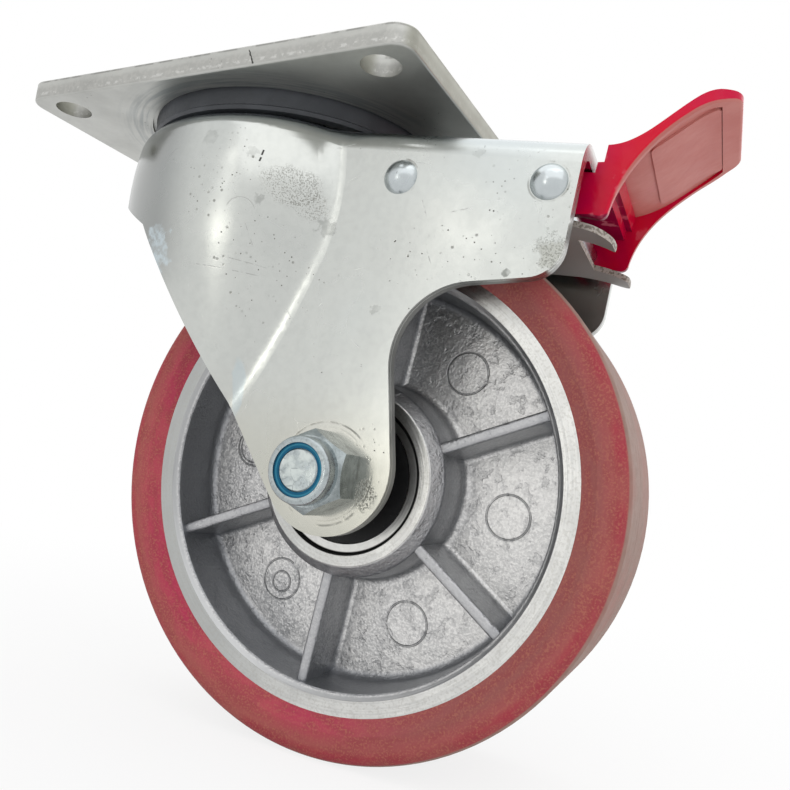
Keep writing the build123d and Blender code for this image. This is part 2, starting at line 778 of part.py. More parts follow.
def pedal_web(drop, tail):
    """Upper line of the pedal from its front to its tail, lowered by drop for the hollow."""
    rise = (pedal_front_r - drop) * math.sin(math.pi / 4)
    shelf = root_top + pedal_step_height - drop
    ThreePointArc(
        from_axle(pedal_front + drop, rear_rivet_height),
        from_axle(rear_rivet - rise, rear_rivet_height + rise),
        from_axle(rear_rivet, root_top - drop),
    )
    Polyline(
        from_axle(rear_rivet, root_top - drop),
        from_axle(step_foot + drop, root_top - pedal_step_drop - drop),
        from_axle(step_foot + step_lean + drop, shelf),
        from_axle(riser - pedal_riser_lean + drop, shelf),
        from_axle(riser + drop, root_top + pedal_riser_height - drop),
    )
    tread(drop, tail)


def under_web(drop, tail):
    """Room below the pedal's upper line, over its full width."""
    floor = rear_rivet_height - 2 * pedal_front_r
    with BuildPart() as room:
        with BuildSketch(side):
            with BuildLine():
                pedal_web(drop, tail)
                Polyline(
                    from_axle(tail, root_top + pedal_tail_height - drop), from_axle(tail, floor),
                    from_axle(pedal_front + drop, floor), from_axle(pedal_front + drop, rear_rivet_height),
                )
            make_face()
        extrude(amount=fork_width, both=True)
    return room.part


def pedal_plan(inset, tail):
    """Plan outline of the pedal."""
    with BuildSketch(pedal_plan_plane) as outline:
        with BuildLine():
            Polyline(
                (0, 0), (0, pedal_half - inset), (trail + pedal_waist, pedal_half - inset),
                (trail + pedal_shoulder, tread_half - inset),
                (trail + pedal_knee, tread_half - inset - pedal_knee_inset),
                (trail + tail, tip_half - inset + pedal_tip_slant), (trail + tail, 0),
            )
            mirror(about=Plane.XZ)
        make_face()
        for sign in (-1, 1):
            round_corner(outline, (trail + pedal_waist, sign * (pedal_half - inset)), pedal_waist_round)
            round_corner(outline, (trail + pedal_shoulder, sign * (tread_half - inset)), pedal_waist_round)
            knee_half = tread_half - inset - pedal_knee_inset
            round_corner(outline, (trail + pedal_knee, sign * knee_half), pedal_knee_round)
        tip_corners = outline.vertices().group_by(Axis.X)[-1]
        fillet(tip_corners, pedal_tip_round - inset)
    return outline.sketch


step_foot = arm_tail + slide_gap
step_lean = pedal_step_drop / 2
riser = arm_tail + slide_gap + pedal_step_length + pedal_riser_lean
hollow_tail = pedal_tail - pedal_tip_wall
with BuildPart() as pedal_column:
    add(pedal_plan(0, pedal_tail))
    extrude(amount=2 * axle_drop, both=True)
with BuildPart() as pedal_blank:
    with BuildSketch(side) as pedal_side:
        with BuildLine():
            pedal_web(0, pedal_tail)
            Line(
                from_axle(pedal_tail, root_top + pedal_tail_height),
                from_axle(pedal_tail, root_top + pedal_tail_height - tip_depth),
            )
            Spline(
                from_axle(pedal_tail, root_top + pedal_tail_height - tip_depth),
                from_axle(pedal_knee, root_top + tread_knee_height - tread_depth),
                from_axle(tread_middle, root_top + tread_middle_height - tread_depth),
                from_axle(pedal_neck, root_top),
                from_axle(pedal_heel, root_top - pedal_heel_drop),
            )
            Polyline(
                from_axle(pedal_heel, root_top - pedal_heel_drop),
                from_axle(pedal_belly, root_top - pedal_belly_drop),
                from_axle(rear_rivet - pedal_front_r / 2, root_top - pedal_belly_drop),
                from_axle(pedal_front, rear_rivet_height),
            )
        make_face()
        round_corner(pedal_side, from_axle(pedal_heel, root_top - pedal_heel_drop), pedal_heel_round)
    extrude(amount=fork_width, both=True)
    add(pedal_column.part, mode=Mode.INTERSECT)
    # rounded edges of the tread, up to its tip
    tread_face = pedal_blank.faces().filter_by(GeomType.PLANE, reverse=True).sort_by(SortBy.AREA)[-1]
    fillet([e for e in tread_face.edges() if not runs_across(e)], pedal_edge_round)
with BuildPart() as pad:
    with BuildSketch(pedal_plan_plane):
        with Locations((trail + (pad_start + pad_end) / 2, 0)):
            RectangleRounded(pad_end - pad_start, pad_width, pad_corner_r)
    extrude(amount=2 * axle_drop, both=True)
    add(under_web(pedal_sheet + pad_height, pedal_tail), mode=Mode.SUBTRACT)
with BuildPart() as pedal_hollow:
    add(pedal_plan(pedal_sheet, hollow_tail + pedal_sheet))
    extrude(amount=2 * axle_drop, both=True)
    add(under_web(pedal_sheet, hollow_tail), mode=Mode.INTERSECT)
    add(pad.part, mode=Mode.SUBTRACT)
with BuildPart() as pedal:
    add(pedal_blank.part)
    add(pedal_hollow.part, mode=Mode.SUBTRACT)
    with BuildSketch(side):
        with Locations(from_axle(rear_rivet, rear_rivet_height)):
            Circle(rivet_r + run_gap)
    extrude(amount=fork_width, both=True, mode=Mode.SUBTRACT)
finish(pedal, "pedal")
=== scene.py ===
import json
import math

import bpy
from mathutils import Matrix, Vector


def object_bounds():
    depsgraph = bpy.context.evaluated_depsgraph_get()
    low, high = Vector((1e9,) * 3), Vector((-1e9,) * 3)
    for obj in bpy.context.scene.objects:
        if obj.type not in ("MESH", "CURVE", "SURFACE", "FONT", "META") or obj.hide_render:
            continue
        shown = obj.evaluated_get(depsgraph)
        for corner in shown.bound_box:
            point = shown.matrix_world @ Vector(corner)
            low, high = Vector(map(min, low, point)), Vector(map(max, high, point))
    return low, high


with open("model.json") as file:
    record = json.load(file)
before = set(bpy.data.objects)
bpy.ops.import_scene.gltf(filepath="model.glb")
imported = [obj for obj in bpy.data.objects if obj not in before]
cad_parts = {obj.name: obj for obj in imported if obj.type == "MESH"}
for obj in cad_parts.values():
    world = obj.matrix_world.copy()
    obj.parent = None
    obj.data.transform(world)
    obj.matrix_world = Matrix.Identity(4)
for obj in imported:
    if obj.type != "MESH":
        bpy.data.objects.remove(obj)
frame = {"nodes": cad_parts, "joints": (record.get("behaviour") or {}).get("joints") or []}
cad_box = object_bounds()

# ------------------------------------------------------------------ places
# lengths are in metres, but at, rise, band, patch, stroke and circle take millimetres
MM = 0.001
joints = {joint["name"]: joint for joint in frame["joints"]}
axle_point = Vector(joints["wheel_spin"]["pos_m"])
across = Vector(joints["wheel_spin"]["axis"])
along = Vector((across.y, -across.x, 0.0))
fork_turn = math.atan2(along.y, along.x)


def at(x, height, offset=0.0):
    """Place in millimetres from the axle: x towards the pedal, height up, offset along the axle."""
    return axle_point + (along * x + across * offset + Vector((0, 0, height))) * MM


# ------------------------------------------------------------------ node helpers
class Nodes:
    """A node tree and short ways to add nodes to it."""

    def __init__(self, tree):
        self.nodes = tree.nodes
        self.links = tree.links

    def give(self, socket, value):
        """Give a socket a number, a colour or a link."""
        if isinstance(value, bpy.types.NodeSocket):
            self.links.new(value, socket)
        else:
            socket.default_value = value

    def add(self, kind, inputs=None, **settings):
        """New node with its settings and inputs."""
        made = self.nodes.new(kind)
        for name, value in settings.items():
            setattr(made, name, value)
        for name, value in (inputs or {}).items():
            self.give(made.inputs[name], value)
        return made

    def math(self, operation, first, second=0.0):
        """One sum on two numbers."""
        return self.add("ShaderNodeMath", {0: first, 1: second}, operation=operation).outputs[0]

    def plus(self, first, second):
        """Sum of two numbers."""
        return self.math("ADD", first, second)

    def minus(self, first, second):
        """First number less the second."""
        return self.math("SUBTRACT", first, second)

    def size(self, value):
        """Number without its sign."""
        return self.math("ABSOLUTE", value)

    def times(self, *values):
        """Product of several numbers."""
        result = values[0]
        for value in values[1:]:
            result = self.math("MULTIPLY", result, value)
        return result

    def most(self, *values):
        """The largest of several numbers."""
        result = values[0]
        for value in values[1:]:
            result = self.math("MAXIMUM", result, value)
        return result

    def polar(self, first, second):
        """Distance and angle from the origin of a point given by two numbers."""
        squares = self.plus(self.times(first, first), self.times(second, second))
        return self.math("SQRT", squares), self.math("ARCTAN2", second, first)

    def vector(self, operation, first, second):
        """One sum on two vectors."""
        return self.add("ShaderNodeVectorMath", {0: first, 1: second}, operation=operation)

    def length(self, vector):
        """Length of a vector."""
        return self.add("ShaderNodeVectorMath", {0: vector}, operation="LENGTH").outputs["Value"]

    def parts(self, vector):
        """The three numbers of a vector."""
        return self.add("ShaderNodeSeparateXYZ", {"Vector": vector}).outputs

    def join(self, x, y, z=0.0):
        """Vector from two or three numbers."""
        return self.add("ShaderNodeCombineXYZ", {"X": x, "Y": y, "Z": z}).outputs["Vector"]

    def ramp(self, value, low, high, bottom=0.0, top=1.0):
        """Value mapped from low..high to bottom..top, and held there."""
        inputs = {"Value": value, "From Min": low, "From Max": high}
        inputs.update({"To Min": bottom, "To Max": top})
        node = self.add("ShaderNodeMapRange", inputs, interpolation_type="SMOOTHSTEP")
        return node.outputs["Result"]

    def rise(self, length, low, high, bottom=0.0, top=1.0):
        """Ramp over a length, its ends in millimetres."""
        return self.ramp(length, low * MM, high * MM, bottom, top)

    def band(self, length, middle, reach, core):
        """1 where a length is within core of middle, 0 beyond reach, all three in millimetres."""
        return self.rise(self.size(self.minus(length, middle * MM)), reach, core)

    def mix(self, factor, first, second):
        """Blend of two colours."""
        node = self.add("ShaderNodeMix", data_type="RGBA")
        for index, value in ((0, factor), (6, first), (7, second)):
            if isinstance(value, tuple):
                value = (*value, 1.0)
            self.give(node.inputs[index], value)
        return node.outputs[2]

    def layers(self, colour, *over):
        """Colour with others over it, each given by a mask and a colour."""
        for mask, upper in over:
            colour = self.mix(mask, colour, upper)
        return colour

    def seen(self):
        """1 for rays from the camera, mirrors and clear things, 0 for rays that light others."""
        path = self.add("ShaderNodeLightPath").outputs
        return self.most(path["Is Camera Ray"], path["Is Glossy Ray"], path["Is Transmission Ray"])


class Surface(Nodes):
    """A material, with places and directions on the part to paint by."""

    def __init__(self, name, colour, metallic=0.0, roughness=0.5):
        self.material = bpy.data.materials.new(name)
        self.material.use_nodes = True
        super().__init__(self.material.node_tree)
        self.shader = self.nodes["Principled BSDF"]
        self.set("Base Color", (*colour, 1.0))
        self.set("Metallic", metallic)
        self.set("Roughness", roughness)
        self.coordinates = self.add("ShaderNodeTexCoord").outputs
        self.place = self.coordinates["Object"]

    def set(self, name, value):
        """Give one of the shader's sockets a number, a colour or a link."""
        self.give(self.shader.inputs[name], value)

    def noise(self, scale, detail=3.0, place=None, rough=0.55):
        """Noise between 0 and 1, its scale in bumps a metre."""
        inputs = {"Vector": place or self.place, "Scale": scale}
        inputs.update({"Detail": detail, "Roughness": rough})
        return self.add("ShaderNodeTexNoise", inputs).outputs["Fac"]

    def streaks(self, detail, *pairs):
        """Noise with its own scale along each of two or three numbers."""
        return self.noise(1.0, detail, self.join(*(self.times(*pair) for pair in pairs)))

    def cells(self, scale, feature="F1"):
        """Distance to the nearest cell centre or cell edge."""
        inputs = {"Vector": self.place, "Scale": scale}
        return self.add("ShaderNodeTexVoronoi", inputs, feature=feature).outputs["Distance"]

    def bump(self, height, distance, strength):
        """Bump from a height between 0 and 1, its depth in metres."""
        inputs = {"Height": height, "Distance": distance, "Strength": strength}
        return self.add("ShaderNodeBump", inputs).outputs["Normal"]

    def turned(self, vector):
        """Vector in the fork's own directions: along, across, up."""
        inputs = {"Vector": vector, "Angle": -fork_turn}
        node = self.add("ShaderNodeVectorRotate", inputs, rotation_type="Z_AXIS")
        return node.outputs["Vector"]

    def find_place(self, near_side=(-20, -23)):
        """Find the place from the axle and the surface's direction, both in the fork's directions.

        The near side starts between two places along the axle, in millimetres.
        """
        moved = self.vector("SUBTRACT", self.place, tuple(axle_point)).outputs["Vector"]
        self.x, self.y, self.z = self.parts(self.turned(moved))
        self.facing = self.parts(self.turned(self.coordinates["Normal"]))
        self.flat = self.join(self.x, 0.0, self.z)
        self.near_side = self.rise(self.y, *near_side)

    def find_wheel_place(self, near_side=(-20, -23)):
        """Find also the distance from the axle and from the wheel's middle plane, and the angle."""
        self.find_place(near_side)
        self.radius, self.angle = self.polar(self.x, self.z)
        self.offset = self.size(self.y)

    def from_point(self, x, z):
        """Way from a point in millimetres to the place, seen along the axle."""
        return self.vector("SUBTRACT", self.flat, (x * MM, 0, z * MM)).outputs["Vector"]

    def patch(self, x, z, half_x, half_z, ragged=0.5, scale=300.0):
        """1 in a ragged oval on the near side, centre and half sizes in millimetres."""
        shares = (1 / (half_x * MM), 0, 1 / (half_z * MM))
        sized = self.vector("MULTIPLY", self.from_point(x, z), shares).outputs["Vector"]
        wobble = self.times(self.minus(self.noise(scale), 0.5), ragged * 2)
        reach = self.plus(self.length(sized), wobble)
        return self.times(self.ramp(reach, 1.2, 0.8), self.near_side)

    def stroke(self, start, end, width):
        """1 along a short line on the near side, places and width in millimetres."""
        run = Vector((end[0] - start[0], 0, end[1] - start[1]))
        moved = self.from_point(*start)
        share_of_run = tuple(run / run.length_squared / MM)
        sideways = tuple(Vector((-run.z, 0, run.x)) / run.length)
        reach = self.vector("DOT_PRODUCT", moved, share_of_run).outputs["Value"]
        aside = self.vector("DOT_PRODUCT", moved, sideways).outputs["Value"]
        inside = self.ramp(self.size(self.minus(reach, 0.5)), 0.5, 0.4)
        return self.times(inside, self.rise(self.size(aside), width, width / 3), self.near_side)

    def circle(self, x, z, radius, width):
        """1 along a circle on the near side, sizes in millimetres."""
        away = self.vector("DISTANCE", self.flat, (x * MM, 0, z * MM)).outputs["Value"]
        return self.times(self.band(away, radius, width, width / 3), self.near_side)


def shade_of(colour, share):
    """Colour times a number."""
    return tuple(channel * share for channel in colour)


def dress(surface, *names):
    """Give CAD nodes a material in place of their plain one."""
    for name in names:
        node = frame["nodes"][name]
        node.data.materials.clear()
        node.data.materials.append(surface.material)


# ------------------------------------------------------------------ materials
speck_dark = (0.11, 0.11, 0.09)


class Zinc(Surface):
    """Zinc-plated steel: soft mottling, hairline scratches and dark specks."""

    def __init__(self, name, colour, shade, roughness, mottle=0.5, specks=1.0):
        super().__init__(name, colour, metallic=1.0, roughness=roughness)
        self.find_place()
        self.roughness = roughness
        self.cloud = self.ramp(self.noise(30.0, 4.0), 0.32, 0.70)
        self.fine = self.noise(420.0, 3.0)
        smaller = self.ramp(self.noise(300.0), 0.4, 0.6, 0.10, 0.0)
        self.dots = self.ramp(self.plus(self.cells(640.0), smaller), 0.19, 0.07)
        clusters = self.ramp(self.noise(70.0, 2.0), 0.56, 0.68)
        dirt = self.times(self.dots, clusters, specks)
        lines = self.ramp(self.cells(42.0, "DISTANCE_TO_EDGE"), 0.0035, 0.0)
        scratches = self.times(lines, self.ramp(self.noise(110.0, 3.0), 0.58, 0.68))
        self.low = self.most(dirt, self.times(scratches, 0.5))
        self.tint = self.layers(
            colour,
            (self.times(self.cloud, mottle), shade),
            (self.ramp(self.fine, 0.35, 0.75, 0.0, 0.14), shade_of(shade, 0.72)),
            (self.times(scratches, 0.3), shade_of(shade, 0.6)),
            (dirt, (0.09, 0.09, 0.08)))

    def mark(self, colour, *masks, share=1.0, depth=0.0):
        """Blend in a share of a colour where all masks are 1, and sink the surface there."""
        mask = self.times(share, *masks)
        self.tint = self.mix(mask, self.tint, colour)
        if depth:
            self.low = self.most(self.low, self.times(mask, depth))

    def close(self, bump=0.00008):
        """Link the colour, roughness and bump to the shader."""
        rough = self.ramp(self.cloud, 0.0, 1.0, self.roughness - 0.05, self.roughness + 0.06)
        self.set("Base Color", self.tint)
        self.set("Roughness", self.plus(rough, self.times(self.low, 0.25)))
        height = self.minus(self.times(self.fine, 0.25), self.low)
        self.set("Normal", self.bump(height, bump, 0.5))
        return self


def fork_hues(s):
    """Painted shade on the crown's front, the legs' lower ends darker and warmer, bluish clouds,
    and bluish painted shade on the faces that look up.
    """
    # painted shade: a dark reflection painted on the crown's front
    s.mark((0.29, 0.30, 0.295), s.rise(s.x, -44, -60), s.rise(s.z, 36, 62), share=0.85)
    s.mark((0.475, 0.46, 0.385), s.rise(s.z, 28, -4), share=0.6)
    s.mark((0.49, 0.545, 0.565), s.ramp(s.noise(14.0, 2.0), 0.45, 0.7), share=0.35)
    # painted shade, bluish, on the faces that look up
    s.mark((0.38, 0.43, 0.455), s.ramp(s.facing[2], 0.15, 0.8), share=0.5)


def fork_specks(s, tiny):
    """Specks in fields, rubbed patches, dull spots and smears."""
    # fields: x, z, half sizes, raggedness, scale
    fields = ((-35, 73, 12, 15, 0.8, 120), (-24, 52, 16, 12, 0.9, 90), (36, 58, 22, 7, 0.9, 120),
              (38, 76, 5, 8, 0.8, 200), (52, 72, 4, 12, 0.8, 200), (10, 0, 7, 12, 0.8, 200))
    field = s.most(*(s.patch(*oval) for oval in fields))
    large_dots = s.times(s.ramp(s.cells(430.0), 0.22, 0.12), s.ramp(s.noise(130.0), 0.45, 0.6))
    s.mark(speck_dark, field, s.dots, share=0.9, depth=1.0)
    s.mark(speck_dark, field, large_dots, share=0.55, depth=1.0)
    # the rubbed patch on the crown's side
    rubbed = (0.22, 0.22, 0.20)
    s.mark(rubbed, s.patch(-19, 76, 6.4, 5.6, 0.5, 200), tiny, share=0.62, depth=0.7)
    s.mark(rubbed, s.patch(-13.5, 71, 4, 3.5, 0.6, 200), tiny, share=0.55, depth=0.7)
    # dull spots: x, z, half size, share
    spots = ((-9.5, 66, 2.5, 0.45), (-26.5, 71, 1.3, 0.45), (8, 44, 1.3, 0.35),
             (41.8, 54.5, 0.9, 0.8), (31, 86, 1.4, 0.2), (-30, 84, 1.6, 0.25),
             (-43, 88, 2.2, 0.25))
    grain = s.ramp(s.fine, 0.35, 0.6, 0.5, 1.0)
    for x, z, half_size, share in spots:
        spot = s.patch(x, z, half_size, half_size, 1.3, 700)
        s.mark((0.22, 0.23, 0.215), spot, grain, share=share, depth=0.5)
    # pale bluish smears at the crown's front and down the leg's front edge
    grain = s.ramp(s.noise(600.0, 3.0), 0.3, 0.6, 0.15, 0.6)
    s.mark((0.60, 0.70, 0.75), s.patch(-58, 56.5, 4.8, 6.5, 1.4, 260), grain)
    s.mark((0.47, 0.58, 0.64), s.patch(-30, 20, 1.8, 7.5, 0.6, 200), share=0.35)
    # the rubbed patch below the rear rivet
    s.mark((0.32, 0.32, 0.28), s.patch(52.5, 59.5, 4.0, 3.4, 1.0, 300), share=0.5, depth=0.4)
    s.mark(speck_dark, s.patch(52.5, 60, 4.4, 4.4, 1.0, 300), tiny, share=0.45, depth=1.0)


def fork_scratches(s):
    """Two short deep scratches, long faint ones and an arc."""
    for start, end in (((-27.0, 84.9), (-27.3, 83.2)), ((-27.3, 82.7), (-27.6, 81.4))):
        s.mark((0.05, 0.05, 0.05), s.stroke(start, end, 0.35), depth=1.0)
    torn = s.ramp(s.noise(500.0, 2.0), 0.42, 0.58)
    for start, end in (((-34.4, 54.7), (-20.7, 52.6)), ((-46, 52.6), (-25, 50.6)),
                       ((-30, 66), (-27, 58)), ((17, 74), (19, 69)), ((25, 70), (31, 71.2)),
                       ((20, 61), (22, 56)), ((44, 84), (48, 86))):
        s.mark((0.28, 0.28, 0.27), s.stroke(start, end, 0.2), torn, share=0.45, depth=0.6)
    upper_half = s.rise(s.z, 68, 69)
    s.mark((0.25, 0.25, 0.24), s.circle(-31, 67, 4.0, 0.22), upper_half, share=0.4, depth=0.8)


def fork_rings(s, tiny):
    """Painted contact shade as dark broken rings round the nut and the rivet heads, dark specks
    beside the nut, and a paler disc round it.
    """
    # painted contact shade: dark broken rings round the nut and the rivet heads
    ring_breaks = s.ramp(s.noise(160.0, 3.0), 0.42, 0.6)
    # x, z, radius, share
    for x, z, radius, share in ((0, 0, 13.4, 0.75), (0, 0, 12.2, 0.2), (10.2, 80, 5.0, 0.6),
                                (49.8, 77.4, 5.1, 0.45)):
        s.mark((0.15, 0.15, 0.13), s.circle(x, z, radius, 0.35), ring_breaks, share=share, depth=1.0)
    s.mark(speck_dark, s.patch(12.4, -4, 3, 4, 0.7, 300), tiny, share=0.8, depth=1.0)
    s.mark((0.68, 0.66, 0.60), s.patch(0, 0, 13.6, 13.6, 0.02), share=0.25)


def fork_edge(s):
    """Sheared edge: burnished at the outside, torn and darker inside."""
    half_width, sheet = 37, 4.1                 # mm, the sheet with a little to spare
    inward = s.minus(half_width * MM, s.size(s.y))
    edge = s.times(s.ramp(s.size(s.facing[1]), 0.55, 0.3), s.rise(s.z, 80, 74),
                   s.rise(inward, sheet + 0.2, sheet))
    s.mark((0.27, 0.27, 0.26), edge, s.rise(inward, 1.5, 2.2), share=0.75, depth=0.6)
    s.mark((0.12, 0.12, 0.11), edge, s.band(inward, 1.0, 0.25, 0.1), share=0.7, depth=0.6)


def fork_zinc():
    """The fork's plating, with painted shade, what wear and handling left on it, and its sheared
    edges.
    """
    s = Zinc("fork_zinc", (0.575, 0.59, 0.565), (0.51, 0.53, 0.515), 0.24)
    tiny = s.ramp(s.noise(2400.0, 3.0), 0.50, 0.57)
    fork_hues(s)
    fork_specks(s, tiny)
    fork_scratches(s)
    fork_rings(s, tiny)
    fork_edge(s)
    return s.close()


def plate_sides(s, plate_x, plate_y, plate_z):
    """The plate's sheared sides: torn low down, chipped along the arrises, one leaning crack, and
    painted shade on the sides that face the pedal.
    """
    crack_x, front_y = 19, -55                  # mm from the plate's centre
    side = s.ramp(s.size(s.facing[2]), 0.5, 0.3)
    depth = s.minus(-0.5 * MM, plate_z)         # from the top's rounded edge down
    torn = s.rise(s.plus(depth, s.times(s.noise(220.0), 1.2 * MM)), 1.6, 3.2)
    s.mark((0.33, 0.325, 0.31), side, torn, share=0.45, depth=0.8)
    grain = s.ramp(s.noise(900.0, 2.0), 0.45, 0.62)
    s.mark((0.52, 0.515, 0.49), side, grain, share=0.4, depth=0.6)
    arris = s.most(s.rise(depth, 5.1, 5.6), s.rise(depth, 0.6, 0.2))
    broken = s.ramp(s.noise(180.0, 3.0), 0.42, 0.55)
    s.mark((0.17, 0.17, 0.16), side, arris, broken, share=0.6, depth=0.6)
    chips = s.times(s.band(depth, 4.0, 0.7, 0.2), s.ramp(s.noise(600.0, 3.0), 0.50, 0.60))
    s.mark((0.72, 0.72, 0.70), side, chips, share=0.45, depth=0.4)
    # painted shade on the sides that face the pedal
    s.mark((0.30, 0.30, 0.25), s.ramp(s.facing[0], 0.5, 0.9), share=0.75)
    lean = s.plus(s.times(depth, 0.4), s.times(s.noise(500.0, 2.0), 1.6 * MM))
    crack = s.times(s.band(s.minus(plate_x, lean), crack_x, 0.35, 0.15),
                    s.rise(depth, 0.8, 1.2), s.rise(plate_y, front_y + 5, front_y))
    s.mark((0.06, 0.06, 0.055), side, crack, depth=1.0)


def plate_zinc():
    """Top plate: duller plating, rough sheared sides, painted shade in streaky arcs on the
    underside towards the swivel race.
    """
    s = Zinc("plate_zinc", (0.52, 0.525, 0.50), (0.44, 0.445, 0.425), 0.38, mottle=0.8, specks=0.8)
    s.set("Metallic", 0.85)
    kingpin_head_r, shade_full_r, shade_end_r = 13, 50, 62      # mm
    plate_x, plate_y, plate_z = s.parts(s.place)
    radius, turn = s.polar(plate_x, plate_y)
    plate_sides(s, plate_x, plate_y, plate_z)
    # painted shade on the underside towards the swivel seal, streaked in arcs
    underside = s.times(s.ramp(s.facing[2], -0.6, -0.9), s.rise(radius, shade_end_r, shade_full_r))
    arcs = s.ramp(s.streaks(3.0, (radius, 700.0), (turn, 2.0)), 0.42, 0.62)
    s.mark((0.25, 0.275, 0.285), underside, arcs, share=0.6, depth=0.3)
    # line round the kingpin's flush head, and rubbed scratches on the top face
    top = s.ramp(s.facing[2], 0.8, 0.95)
    seam = s.times(s.band(radius, kingpin_head_r, 0.35, 0.15),
                   s.ramp(s.noise(200.0), 0.3, 0.5, 0.5, 0.9))
    s.mark((0.10, 0.10, 0.095), top, seam, depth=1.0)
    rubbed = s.times(s.ramp(s.streaks(3.0, (plate_x, 60.0), (plate_y, 1100.0)), 0.58, 0.70),
                     s.ramp(s.noise(35.0, 2.0), 0.45, 0.65))
    s.mark((0.30, 0.30, 0.285), top, rubbed, share=0.45, depth=0.4)
    return s.close(0.00012)


def brake_zinc():
    """Brake plate: dull grey, with painted light making it lighter below, and speckled on its cut
    edges.
    """
    s = Zinc("brake_zinc", (0.32, 0.31, 0.295), (0.26, 0.25, 0.24), 0.44, mottle=0.8)
    s.set("Metallic", 0.3)
    half_width = 26                             # mm
    # painted light: lighter below, most towards the wheel
    below = s.ramp(s.facing[2], -0.1, -0.6)
    s.mark((0.42, 0.415, 0.40), below, s.rise(s.x, 68, 50, 0.2, 0.7))
    edge = s.times(s.ramp(s.size(s.facing[2]), 0.75, 0.5),
                   s.rise(s.size(s.y), half_width, half_width - 0.5))
    s.mark((0.44, 0.40, 0.36), edge)
    s.mark((0.22, 0.19, 0.16), edge, s.ramp(s.noise(1300.0, 1.0), 0.48, 0.58), depth=0.8)
    return s.close()


def bolt_zinc():
    """Bluish plating of the nut and bolt, with painted shade on the nut's side faces, a scuffed
    bolt end, and darker at the foot by the leg.
    """
    s = Zinc("bolt_zinc", (0.47, 0.515, 0.525), (0.33, 0.37, 0.38), 0.28, mottle=0.9)
    bolt_r = 5.9                                # mm
    collar_start, leg_face = -47.5, -37.0       # mm along the axle
    end_on = s.size(s.facing[1])
    # painted shade, in clouds, on the nut's side faces
    facets = s.times(s.rise(s.y, collar_start, collar_start + 1), s.ramp(end_on, 0.9, 0.7))
    clouds = s.ramp(s.noise(260.0, 4.0), 0.35, 0.65, 0.4, 1.0)
    s.mark((0.22, 0.25, 0.255), facets, clouds)
    grain = s.ramp(s.noise(1300.0, 2.0), 0.48, 0.66)
    s.mark((0.16, 0.18, 0.18), grain, share=0.35, depth=0.5)
    bolt_end = s.times(s.patch(0, 0, bolt_r, bolt_r, 0.02), s.ramp(end_on, 0.7, 0.9))
    s.mark((0.54, 0.585, 0.575), bolt_end, s.ramp(s.noise(420.0, 4.0), 0.35, 0.65))
    scuffs = s.times(s.ramp(s.cells(330.0, "DISTANCE_TO_EDGE"), 0.07, 0.02),
                     s.ramp(s.noise(240.0), 0.46, 0.56))
    s.mark((0.20, 0.23, 0.24), bolt_end, scuffs, share=0.45, depth=1.0)
    # darker at the foot, next to the leg
    foot = s.rise(s.y, leg_face - 3.5, leg_face - 1.5)
    foot_noise = s.ramp(s.noise(500.0, 2.0), 0.45, 0.6)
    s.mark((0.16, 0.17, 0.17), foot, foot_noise, share=0.6, depth=0.5)
    return s.close(0.0001)


def plain_steel(name, colour, roughness, turned=0.0):
    """Machined steel, or turned steel with its lines that far apart and dark bearing edges."""
    s = Surface(name, colour, metallic=1.0, roughness=roughness)
    grain = s.noise(700.0, 3.0)
    tint = s.mix(s.ramp(grain, 0.3, 0.7, 0.0, 0.35), colour, shade_of(colour, 0.7))
    height = s.times(grain, 0.4)
    if turned:
        bearing_r = 20.6                        # mm
        s.find_wheel_place()
        chamfer = s.rise(s.radius, bearing_r - 0.25, bearing_r)
        tint = s.mix(s.times(chamfer, 0.9), tint, (0.02, 0.02, 0.02))
        height = s.plus(height, s.streaks(2.0, (s.radius, 1 / turned), (s.angle, 0.6)))
    s.set("Base Color", tint)
    s.set("Normal", s.bump(height, 0.00003, 0.5))
    return s


def rubber(name, colour, roughness):
    """Black moulded rubber with a powdery bloom."""
    s = Surface(name, colour, roughness=roughness)
    grain = s.noise(900.0, 2.0)
    s.set("Roughness", s.ramp(grain, 0.3, 0.7, roughness - 0.07, roughness + 0.08))
    tint = s.mix(s.ramp(s.noise(60.0), 0.4, 0.8, 0.0, 0.8), colour, shade_of(colour, 1.7))
    dust_and_sheen = s.ramp(s.cells(800.0), 0.10, 0.04, 0.0, 0.5)
    s.set("Base Color", s.mix(dust_and_sheen, tint, (0.16, 0.165, 0.17)))
    s.set("Specular IOR Level", 0.3)
    s.set("Normal", s.bump(grain, 0.00004, 0.4))
    return s


